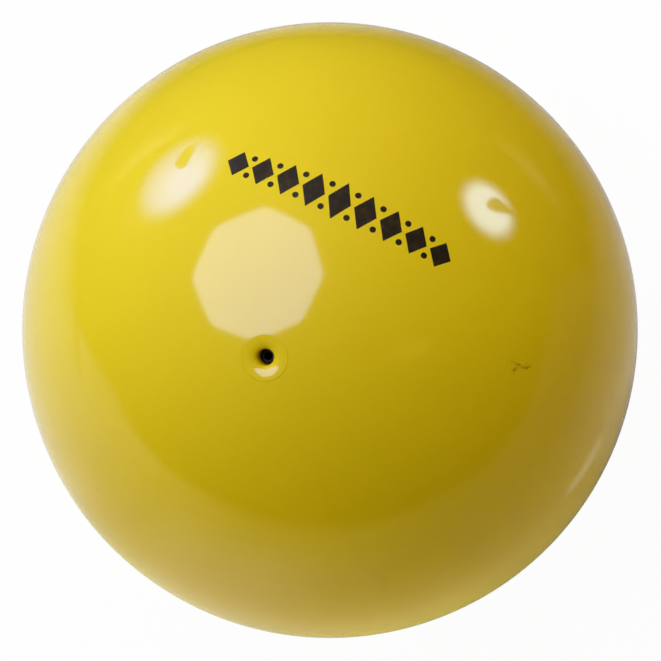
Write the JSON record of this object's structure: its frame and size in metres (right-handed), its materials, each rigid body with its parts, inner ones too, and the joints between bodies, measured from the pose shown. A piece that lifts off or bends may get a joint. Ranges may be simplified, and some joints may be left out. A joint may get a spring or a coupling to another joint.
{
  "type": "gymnastics ball",
  "caption": "Hollow glossy PVC gymnastics ball with a recessed needle valve: moulded wall, bell-mouthed valve housing and a rubber core whose lips part for a pump's needle.",
  "frame": {"origin": "centre of the ball", "axes": "+Z out through the middle of the valve, +X along the slit between the valve core's lips, +Y across the slit towards the back lip"},
  "size_m": [0.19, 0.19, 0.1898],
  "materials": {
    "pvc_skin": "gloss",
    "pvc_valve": "gloss",
    "butyl_core": "matte"
  },
  "bodies": {
    "ball": {"ball_shell": "pvc_skin", "valve_housing": "pvc_valve", "valve_core": "butyl_core"},
    "front_lip": {"valve_lip_front": "butyl_core"},
    "back_lip": {"valve_lip_back": "butyl_core"}
  },
  "joints": [
    {"name": "front_lip_opens", "type": "hinge", "parent": "ball", "child": "front_lip", "pos_m": [0, -0.0021, 0.07496], "axis": [-1, 0, 0], "range_deg": [0, 10], "stiffness_Nm_per_rad": 0.002},
    {"name": "back_lip_opens", "type": "hinge", "parent": "ball", "child": "back_lip", "pos_m": [0, 0.0021, 0.07496], "axis": [1, 0, 0], "range_deg": [0, 10], "stiffness_Nm_per_rad": 0.002}
  ],
  "couplings": [
    {"joint": "back_lip_opens", "follows": "front_lip_opens", "ratio": 1}
  ]
}
